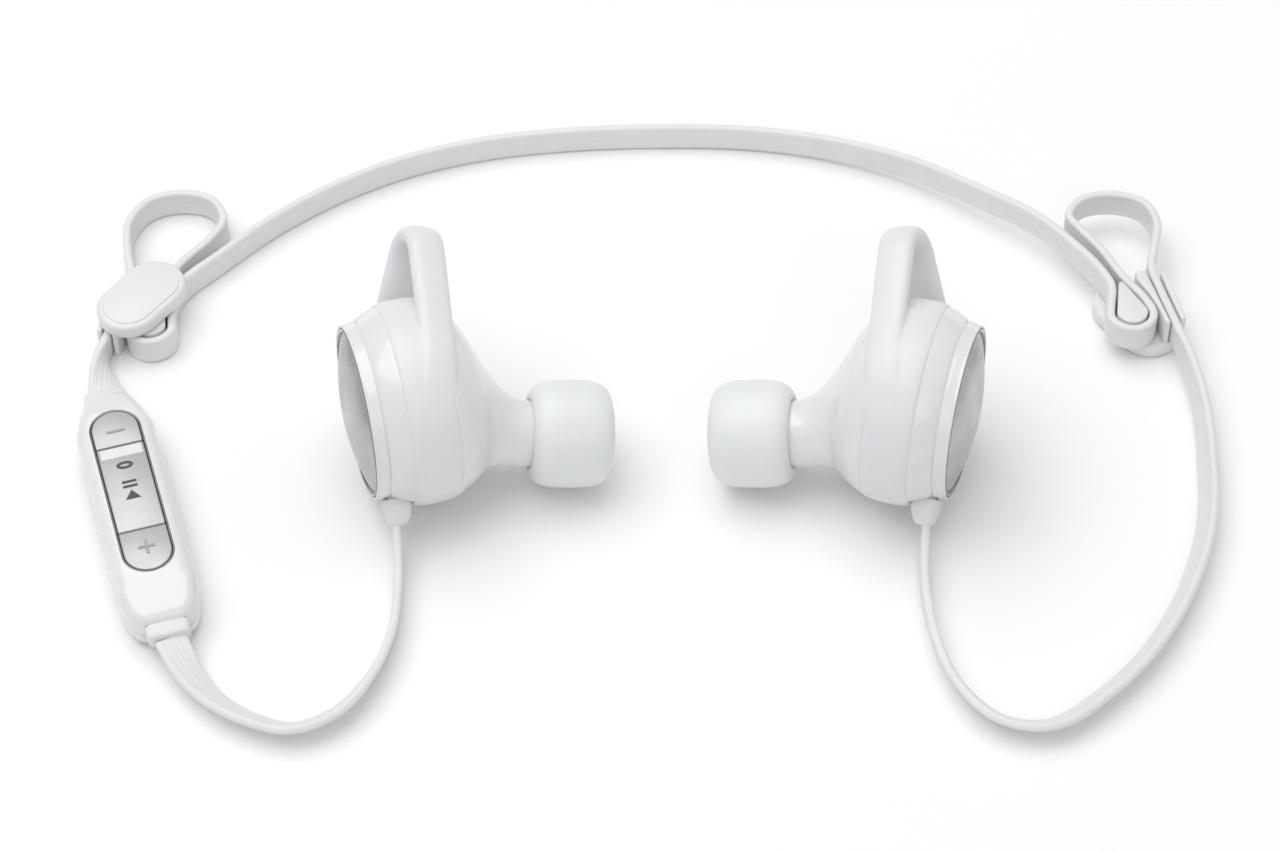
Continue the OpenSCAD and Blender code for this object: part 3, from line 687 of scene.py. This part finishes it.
def ear_tips():
    """Soft barrel that folds back over the stem gripping the nozzle."""
    radius, length, start, corner, skin = 6.3, 9.6, -0.8, 2.7, 0.6
    top = start + length
    outer = [(top - 0.9, 2.78), (top - 0.3, 1.98), (top - 0.08, 2.1), (top, 2.5), (top + 0.02, 3.0)]
    middle, reach = start + length / 2, length / 2
    for turn in np.radians(np.linspace(5, 168, 44)):
        along = math.copysign(abs(math.cos(turn)) ** 0.62, math.cos(turn))
        outer.append((middle + reach * along, 3.1 + (radius - 3.1) * math.sin(turn) ** 0.62))
    outer += [(start + 0.22, radius - corner + 0.35), (start + 0.42, radius - corner + 0.3)]
    outer += arc(corner - skin, 166, 96, 10, (start + corner, radius - corner - 0.05))
    outer += [(start + length * 0.5, radius - skin)]
    outer += arc(corner - skin, 84, 12, 10, (top - corner - 0.1, radius - corner))
    outer += [(top - 1.2, 3.5), (0.35, 3.45), (0.3, 3.1), (0.35, 2.78)]
    points, faces = lathe(outer, 144, True)
    bodies = ("left_tip", "right_tip")
    both_sides("soft_tip", nozzle_points(points), faces, "clear_silicone", ["ear_tip"], bodies, 60)


NEAR_FOOT, FAR_FOOT, LEG_TOP = -46, -5, 25
CROWN_R, CROWN_Z = 4.5, 15.05
ARCH_LEAN = turn_by(0, 15.5, 10.5)
ARCH_PLACE = [5.7, 0, 0]
ARCH_AROUND = 24


def arch_path():
    """Centre line of the wing's arch on its leaning plane: [across, up, width, thickness]."""
    line = []
    for angle in np.linspace(NEAR_FOOT, LEG_TOP, 16):
        turn = math.radians(angle)
        fade = (angle - NEAR_FOOT) / (LEG_TOP - NEAR_FOOT)
        r = 10.3 + 1.1 * fade**0.6
        line.append((-r * math.cos(turn), r * math.sin(turn), 5.4 - 1.2 * fade, 2.0))
    for angle in np.linspace(180 - LEG_TOP, LEG_TOP, 17):
        turn = math.radians(angle)
        line.append((CROWN_R * math.cos(turn), CROWN_Z + CROWN_R * math.sin(turn), 4.3, 2.2))
    for angle in np.linspace(LEG_TOP, FAR_FOOT, 8):
        turn = math.radians(angle)
        fade = (angle - FAR_FOOT) / (LEG_TOP - FAR_FOOT)
        r = 10.5 + 0.75 * fade
        line.append((r * math.cos(turn), r * math.sin(turn), 6.4 - 0.9 * fade, 1.9))
    return line


def squared(around, power):
    """A round outline with fuller corners than a circle's, as its two coordinates from -1 to 1."""
    turn = np.linspace(0, 2 * math.pi, around, endpoint=False)
    u = np.sign(np.cos(turn)) * np.abs(np.cos(turn)) ** power
    v = np.sign(np.sin(turn)) * np.abs(np.sin(turn)) ** power
    return u, v


def wings():
    """Silicone sleeve and its sprung arch, blended into one body."""
    sleeve = (
        [(4.1, 11.2), (9.4, 11.2), (9.62, 11.35), (9.6, 11.52), (9.35, 11.66), (8.8, 11.82), (8.0, 11.96)]
        + [(7.0, 12.04), (5.4, 12.04), (4.7, 11.95), (4.2, 11.84), (3.82, 11.74), (3.74, 11.55), (3.74, 11.3)]
    )
    points, faces = lathe(sleeve, 160, True)
    flat = smooth_line([(0, *station) for station in arch_path()], 0.5)
    along = np.gradient(flat[:, 1:3], axis=0)
    along /= np.linalg.norm(along, axis=1)[:, None]
    wide, deep = squared(ARCH_AROUND, 0.7)
    rings = []
    for (_, y, z, w, t), (dy, dz) in zip(flat, along):
        across = wide * w / 2
        out = deep * t / 2
        rings.append(np.stack([across, y - out * dz, z + out * dy], 1))
    band = np.concatenate(rings) @ ARCH_LEAN.T + ARCH_PLACE
    band_faces = tube_faces(len(rings), ARCH_AROUND, False) + end_caps(len(rings), ARCH_AROUND)
    count = len(points)
    every = np.concatenate([points, band])
    every_face = list(faces) + [[i + count for i in f] for f in band_faces]
    left = make_object("left_ear_wing", ear_points(every), every_face, FINISHES["white_silicone"])
    voxels = left.modifiers.new("remesh", "REMESH")
    voxels.mode = "VOXEL"
    voxels.voxel_size = 0.26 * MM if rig.quick() else 0.2 * MM
    relax = left.modifiers.new("relax", "SMOOTH")
    relax.factor = 0.5
    relax.iterations = 7
    apply_modifiers(left, 80)
    right = mirrored(left, "right_ear_wing")
    placed(left, "root", "white_silicone", "left_wing")
    placed(right, "root", "white_silicone", "right_wing")


def rounded_block(sections, around=40, power=0.45):
    """Points and faces of a block from sections [centre, half-width, half-depth] stacked along its length."""
    u, v = squared(around, power)
    rings = [np.stack([c[0] + a * u, c[1] + b * v, np.full(around, c[2])], 1) for c, a, b in sections]
    faces = tube_faces(len(sections), around, False) + end_caps(len(sections), around)
    return np.concatenate(rings), faces


def strain_reliefs():
    """Small tapered boots that carry the cable out of the rear shells."""
    sections = [
        ((1.9, 0, -9.4), 1.0, 2.1), ((1.95, 0, -10.5), 1.0, 2.1), ((2.1, 0, -10.52), 1.55, 2.38),
        ((2.1, 0, -10.75), 1.66, 2.46), ((2.1, 0.02, -11.3), 1.64, 2.48), ((2.06, 0.06, -12), 1.54, 2.46),
        ((2.0, 0.1, -12.7), 1.36, 2.38), ((1.94, 0.14, -13.2), 1.16, 2.28), ((1.9, 0.18, -13.5), 0.98, 2.16),
        ((1.87, 0.2, -13.68), 0.76, 1.98),
    ]
    points, faces = rounded_block(sections)
    both_sides("cable_boot", points, faces, "cable_rubber", ["strain_relief"], crease=50)


rear_housings()
discs()
front_housings()
ear_tips()
wings()
strain_reliefs()


# ---- Remote: Y runs along it towards the left clip, Z up ----


def centre_of(node):
    """The middle of a CAD node's box, in metres."""
    low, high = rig.box(node)
    return np.array((low + high) / 2)


REMOTE = centre_of("remote_back_shell") * [1, 1, 0]
REMOTE_TURN = turn_by(0, 0, 17)
PANEL_Y = 1
PANEL_LEN = 24.4
PANEL_W = 5.6
SPLIT_Z = 2.6


def remote_points(points):
    """Points on the remote's own axes in mm, put in the model's frame."""
    return REMOTE + MM * np.asarray(points, float) @ REMOTE_TURN.T


def remote_half_width(y):
    """Half the remote's width at a distance along it: a round lower end and a tapered upper one."""
    if y < -12:
        return 2.5 + 2.1 * math.sqrt(max(0.0, 1 - ((-12 - y) / 5.5) ** 2))
    y = abs(y)
    if y < 10.9:
        return 4.6
    if y < 11.63:
        return math.sqrt(4.6**2 - (y - 10.9) ** 2)
    if y < 16.66:
        return 4.543 - (y - 11.63) * 0.3292
    return 1.9 + math.sqrt(max(0.0, 1 - (y - 16.5) ** 2))


def remote_stations():
    """Stations along the remote, closer together round its ends."""
    end = [17.49, 17.44, 17.35, 17.22, 17.05, 16.85, 16.6, 16.2, 15.7, 15.2, 14.7]
    end += [14.2, 13.8, 13.5, 13.2, 12.9, 12.6, 12.2, 11.8, 11.3, 10.8]
    middle = list(np.linspace(10, -10, 21))
    return [-y for y in end] + middle[::-1] + end[::-1]


def shell_half(top):
    """One half of the remote's shell: rounded long edges, and a top that falls towards both ends."""
    rows = []
    for y in remote_stations():
        half = remote_half_width(y)
        fall = max(0.0, (abs(y) - (12.9 if y < 0 else 13.6)) / 4.6)
        end_round = 1 - math.sqrt(max(0.0, 1 - max(0.0, (abs(y) - 16.3) / 1.2) ** 2))
        if top:
            height = 6.0 - 1.15 * fall**1.1 - 1.0 * end_round
            corner = min(1.5, half * 0.55, height - SPLIT_Z - 0.4)
            edge = arc(corner, 0, 90, 8, (half - corner, height - corner))
            reach = half - corner
            across = np.linspace(reach, 0, 6)[1:]
            crown = [(x, height + 0.06 * (1 - (x / max(reach, 0.1)) ** 2)) for x in across]
            right = [(half, SPLIT_Z + 0.04), (half, SPLIT_Z + 0.3), *edge, *crown]
        else:
            floor = 0.02 + 0.6 * fall**1.3 + 0.5 * end_round
            corner = min(1.15, half * 0.5, SPLIT_Z - 0.4 - floor)
            edge = arc(corner, 0, -90, 8, (half - corner, floor + corner))
            flat = [(x, floor) for x in np.linspace(half - corner, 0, 6)[1:]]
            right = [(half, SPLIT_Z - 0.04), (half, SPLIT_Z - 0.3), *edge, *flat]
        row = right + [(-x, z) for x, z in right[-2::-1]]
        rows.append(np.array([(x, y, z) for x, z in row]))
    count = len(rows[0])
    faces = []
    for i in range(len(rows) - 1):
        a, b = i * count, (i + 1) * count
        faces += [(a + j, a + j + 1, b + j + 1, b + j) for j in range(count - 1)]
    faces += end_caps(len(rows), count)
    name = "remote_front" if top else "remote_back"
    shell = make_object(name, remote_points(np.concatenate(rows)), faces, FINISHES["white_shell"], 30)
    facing = sum(f.normal.z * f.area for f in shell.data.polygons)
    if (facing > 0) != top:
        shell.data.flip_normals()
    thick = shell.modifiers.new("wall", "SOLIDIFY")
    thick.thickness = (0.8 if top else 0.6) * MM
    thick.offset = -1
    apply_modifiers(shell, 30)
    return shell


def capsule(length, width, steps=24, centre=(0, 0)):
    """Outline of a capsule along Y."""
    r, reach = width / 2, (length - width) / 2
    points = arc(r, 0, 180, steps, (0, reach)) + arc(r, 180, 360, steps, (0, -reach))
    return [(x + centre[0], y + centre[1]) for x, y in points]


def rectangle(x0, y0, x1, y1):
    """Outline of a rectangle between two corners."""
    return [(x0, y0), (x1, y0), (x1, y1), (x0, y1)]


def prism(name, outline, low, high, finish, place, hole=None):
    """An outline pulled up between two heights, with an optional hole of as many points."""
    n = len(outline)
    if hole is None:
        rings = [[(x, y, low) for x, y in outline], [(x, y, high) for x, y in outline]]
        faces = tube_faces(2, n, False) + [list(range(n))[::-1], list(range(n, 2 * n))]
    else:
        levels = ((outline, low), (outline, high), (hole, high), (hole, low))
        rings = [[(x, y, z) for x, y in line] for line, z in levels]
        faces = tube_faces(4, n, True)
    return make_object(name, place(np.concatenate(rings)), faces, finish)


def clipped(outline, low, high):
    """The part of a closed outline between two heights in Y."""
    for bound, sign in ((low, 1), (high, -1)):
        kept = []
        for (x0, y0), (x1, y1) in zip(outline, outline[1:] + outline[:1]):
            a, b = sign * (y0 - bound), sign * (y1 - bound)
            if a >= 0:
                kept.append((x0, y0))
            if a * b < 0:
                t = a / (a - b)
                kept.append((x0 + t * (x1 - x0), bound))
        outline = kept
    return outline


def remote():
    """Shells, boots and the dark frame round the keys."""
    front = shell_half(True)
    white = FINISHES["white_shell"]
    window = capsule(PANEL_LEN + 0.54, PANEL_W + 0.54, 24, (0, PANEL_Y))
    cut(front, prism("cutter", window, 2, 8, white, remote_points))
    back = shell_half(False)
    for end, length in ((-1, 1.6), (1, 1.2)):
        mouth = rectangle(-2.35, end * 15.6, 2.35, end * 19)
        cutter = prism("cutter", mouth, 1.85, 4.15, white, remote_points)
        spare = cutter.copy()
        spare.data = cutter.data.copy()
        SCENE.collection.objects.link(spare)
        cut(front, cutter)
        cut(back, spare)
        tip = 17.5 + length
        sections = [
            ((0, 3, 15.7), 2.0, 0.85), ((0, 3, 17.3), 2.1, 0.95), ((0, 3, 17.32), 2.5, 1.25),
            ((0, 3, 17.55), 2.6, 1.32), ((0, 3, tip - 0.5), 2.45, 1.15),
            ((0, 3, tip - 0.12), 2.38, 1.05), ((0, 3, tip), 2.25, 0.92),
        ]
        points, faces = rounded_block(sections)
        points = points[:, [0, 2, 1]] * [1, end, 1]
        name = "upper" if end > 0 else "lower"
        rubber = FINISHES["cable_rubber"]
        boot = make_object(f"remote_{name}_collar", remote_points(points), faces, rubber, 50)
        placed(boot, "root", "cable_rubber", f"remote_{name}_boot")
    placed(front, "root", "white_shell", "remote_front_shell")
    placed(back, "root", "white_shell", "remote_back_shell")
    outer = capsule(PANEL_LEN + 0.5, PANEL_W + 0.5, 24, (0, PANEL_Y))
    inner = capsule(PANEL_LEN + 0.12, PANEL_W + 0.12, 24, (0, PANEL_Y))
    frame_ring = prism("key_frame", outer, 4.7, 6.05, FINISHES["dark_chrome"], remote_points, inner)
    bevel(frame_ring, 0.06, 2)
    placed(frame_ring, "root", "dark_chrome", "button_frame")


def key(name, low, high, body, node):
    """One key of the panel, between two stations along the remote."""
    outline = clipped(capsule(PANEL_LEN - 0.1, PANEL_W - 0.1, 24, (0, PANEL_Y)), low, high)
    made = prism(name, outline, 4.65, 6.17, FINISHES["button_silver"], remote_points)
    bevel(made, 0.16, 3)
    return placed(made, body, "button_silver", node)


def mark_or_painted_highlight_on(name, outline, body, finish, high=6.2, hole=None):
    """A thin printed or raised mark on a key, or a lighter band that is a painted highlight."""
    mark = prism(name, outline, 6.15, high, finish, remote_points, hole)
    return placed(mark, body, "button_silver")


def oval(rx, ry, centre, steps=32):
    """Outline of an oval."""
    turn = np.linspace(0, 2 * math.pi, steps, endpoint=False)
    return [(centre[0] + rx * math.cos(a), centre[1] + ry * math.sin(a)) for a in turn]


def keys():
    """Minus, centre and plus keys with plain media marks, and a painted highlight across the top of the centre key."""
    minus_y, plus_y = PANEL_Y + 6.8, PANEL_Y - 6.1
    key("minus_cap", minus_y + 0.08, 30, "minus_key", "button_minus")
    key("centre_cap", plus_y + 0.08, minus_y - 0.08, "centre_key", "button_centre")
    key("plus_cap", -30, plus_y - 0.08, "plus_key", "button_plus")
    bar = rectangle(-1.1, minus_y + 2.1, 1.1, minus_y + 2.4)
    mark_or_painted_highlight_on("minus_mark", bar, "minus_key", MOULDED, high=6.26)
    cross = [
        (-0.17, -0.17), (-1.0, -0.17), (-1.0, 0.17), (-0.17, 0.17), (-0.17, 1.0), (0.17, 1.0),
        (0.17, 0.17), (1.0, 0.17), (1.0, -0.17), (0.17, -0.17), (0.17, -1.0), (-0.17, -1.0),
    ]
    mark_or_painted_highlight_on("plus_mark", [(x, y + plus_y - 2.7) for x, y in cross], "plus_key", MOULDED, high=6.26)
    # Painted highlight: a lighter band across the top of the centre key, where light glints off its edge
    highlight_band = rectangle(-2.45, minus_y - 1.75, 2.45, minus_y - 0.3)
    mark_or_painted_highlight_on("centre_key_painted_highlight", highlight_band, "centre_key", PAINTED_KEY_HIGHLIGHT, high=6.19)
    power = (0, PANEL_Y + 3.7)
    mark_or_painted_highlight_on("power_mark", oval(1.0, 0.55, power), "centre_key", PRINT, hole=oval(0.55, 0.2, power))
    for i, y in enumerate((PANEL_Y + 0.95, PANEL_Y + 0.25)):
        mark_or_painted_highlight_on(f"pause_mark_{i}", rectangle(-0.85, y, 0.85, y + 0.36), "centre_key", PRINT)
    triangle = [(-0.9, PANEL_Y - 1.5), (0.9, PANEL_Y - 1.5), (0, PANEL_Y - 0.15)]
    mark_or_painted_highlight_on("play_mark", triangle, "centre_key", PRINT)


remote()
keys()


# ---- Clips ----

PLATE_T = 2.0
PLATE_LEN = 12.2
PLATE_W = 7.8
PLATE_TURN = turn_by(0, 0, 37)
PLATE_CENTRE = [1.2, 3, 0]
PLATE_BEHIND = 4.024
PLATE_BELOW = 2.657


def clip_post(node, side):
    """The clip's post in the model's frame, from the CAD clip's box and its plate's reach past the post."""
    low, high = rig.box(node)
    x = high.x - PLATE_BEHIND * MM if side < 0 else low.x + PLATE_BEHIND * MM
    return np.array([x, low.y + PLATE_BELOW * MM, 0])


def clip(side, node):
    """Rounded plate with a teardrop post, a wedge and an outer wall that hold the folded cable."""
    post = clip_post(node, side)
    below = side > 0

    def place(points):
        return post + MM * np.asarray(points, float) * [side, 1, 1]

    def tilted(points):
        return place(np.asarray(points, float) @ PLATE_TURN.T + PLATE_CENTRE)

    plate_low = 0.0 if below else RIBBON_W
    wall_low = PLATE_T - 0.1 if below else 0.0
    wall_high = wall_low + RIBBON_W + 0.1
    plastic = FINISHES["clip_plastic"]
    parts = []
    plate_high = plate_low + PLATE_T
    plate = prism(node + "_plate", capsule(PLATE_LEN, PLATE_W, 28), plate_low, plate_high, plastic, tilted)
    bevel(plate, 0.55, 5)
    if not below:
        rim = capsule(PLATE_LEN - 1.5, PLATE_W - 1.5, 28)
        lid = prism(node + "_lid", rim, plate_high - 0.3, plate_high + 0.16, plastic, tilted)
        bevel(lid, 0.14, 3)
        parts.append(lid)
    teardrop = arc(1.87, -168, 0, 20) + arc(1.87, 0, 12, 3)[1:] + arc(0.35, 20, 160, 8, (-0.95, 4.4))
    wedge = [(3.9, -1.9), (3.3, 0.4), (2.3, 2.9), (1.0, 5.2), (0.9, 6.4), (2.1, 6.6), (3.0, 3.5)]
    wedge += [(4.1, -0.5), (4.5, -1.9)]
    wall = [(5.85, -1.4), (5.5, -0.2), (4.5, 3.8), (3.95, 6.3), (4.6, 6.5), (5.2, 4)]
    wall += [(6.15, 0.1), (6.4, -1.2)]
    for name, outline in (("post", teardrop), ("wedge", wedge), ("wall", wall)):
        part = prism(f"{node}_{name}", outline, wall_low, wall_high, plastic, place)
        bevel(part, 0.14, 3)
        parts.append(part)
    for part in parts:
        placed(part, "root", "clip_plastic")
    placed(plate, "root", "clip_plastic", node)
    return [plate, *parts]


left_clip = clip(-1, "left_clip")
right_clip = clip(1, "right_clip")


# ---- Small parts that keep their CAD shape ----

KEPT = {
    "steel": [
        "usb_socket", "dome_switches", "microphone",
        "left_driver_magnet", "right_driver_magnet", "left_nozzle_mesh", "right_nozzle_mesh",
    ],
    "white_shell": ["left_nozzle", "right_nozzle"],
    "white_silicone": ["usb_cover"],
    "driver_frame": ["left_driver_frame", "right_driver_frame"],
    "diaphragm_film": ["left_driver_diaphragm", "right_driver_diaphragm"],
    "copper": ["left_driver_coil", "right_driver_coil"],
    "circuit_board": ["main_board", "remote_board"],
    "battery_foil": ["battery"],
    "pad_rubber": ["button_pad"],
}
for slot_name, names in KEPT.items():
    for node_name in names:
        mesh = NODES[node_name].data
        mesh.materials.clear()
        mesh.materials.append(FINISHES[slot_name])


# ---- Cords declared ----


def length_of(line):
    """The length of a line of points."""
    return float(np.linalg.norm(np.diff(line, axis=0), axis=1).sum())


REMOTE_PIECES = [
    "remote_front", "remote_back", "remote_upper_collar", "remote_lower_collar", "key_frame",
    "minus_cap", "centre_cap", "plus_cap", "button_pad", "remote_board", "dome_switches", "microphone",
]
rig.cord(
    cable_left, exit=left_line[0], length=length_of(left_line), diameter=CORD_W, far_end="object",
    stiffness="medium", lay="loose", path=left_line[::2],
)
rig.cord(
    cable_neck, exit=neck_line[0], length=length_of(neck_line), diameter=CORD_W, far_end="object",
    stiffness="medium", lay="loose", path=neck_line[::2],
    with_pieces=[*left_clip, *right_clip, *[bpy.data.objects[n] for n in REMOTE_PIECES]],
)


# ---- Floor and light ----


def make_floor():
    """A pale plain floor just under the object."""
    points = np.array([(-2, -2, 0), (2, -2, 0), (2, 2, 0), (-2, 2, 0)]) - [0, 0, 0.00005]
    finish = finish_of("floor", (0.93, 0.93, 0.93), 0.8, 0.5, 0.002, 0.004, 0.03)
    floor = make_object("floor", points, [(0, 1, 2, 3)], finish)
    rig.stage(floor)


def area_light(name, place, aim, size, power):
    """A rectangular lamp that faces a point."""
    data = bpy.data.lights.new(name, "AREA")
    data.shape = "RECTANGLE"
    data.size, data.size_y = size
    data.energy = power
    light = bpy.data.objects.new(name, data)
    light.location = place
    light.rotation_mode = "QUATERNION"
    light.rotation_quaternion = (Vector(aim) - Vector(place)).to_track_quat("-Z", "Y")
    SCENE.collection.objects.link(light)


def make_world():
    """Even, slightly cool light from all round."""
    world = bpy.data.worlds.new("studio")
    world.use_nodes = True
    back = world.node_tree.nodes["Background"]
    back.inputs["Color"].default_value = (0.97, 0.98, 1, 1)
    back.inputs["Strength"].default_value = 0.56
    SCENE.world = world


make_floor()
area_light("key", (-0.2, 0.12, 0.8), (0, 0, 0), (0.9, 0.8), 4.7)
area_light("front", (0.15, -0.6, 0.5), (0, 0, 0), (0.5, 0.4), 0.5)
make_world()
SCENE.view_settings.view_transform = "Standard"

new_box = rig.bounds()
with open("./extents.json", "w") as out:
    json.dump({"cad": [list(c) for c in CAD_BOX], "visual": [list(c) for c in new_box]}, out)
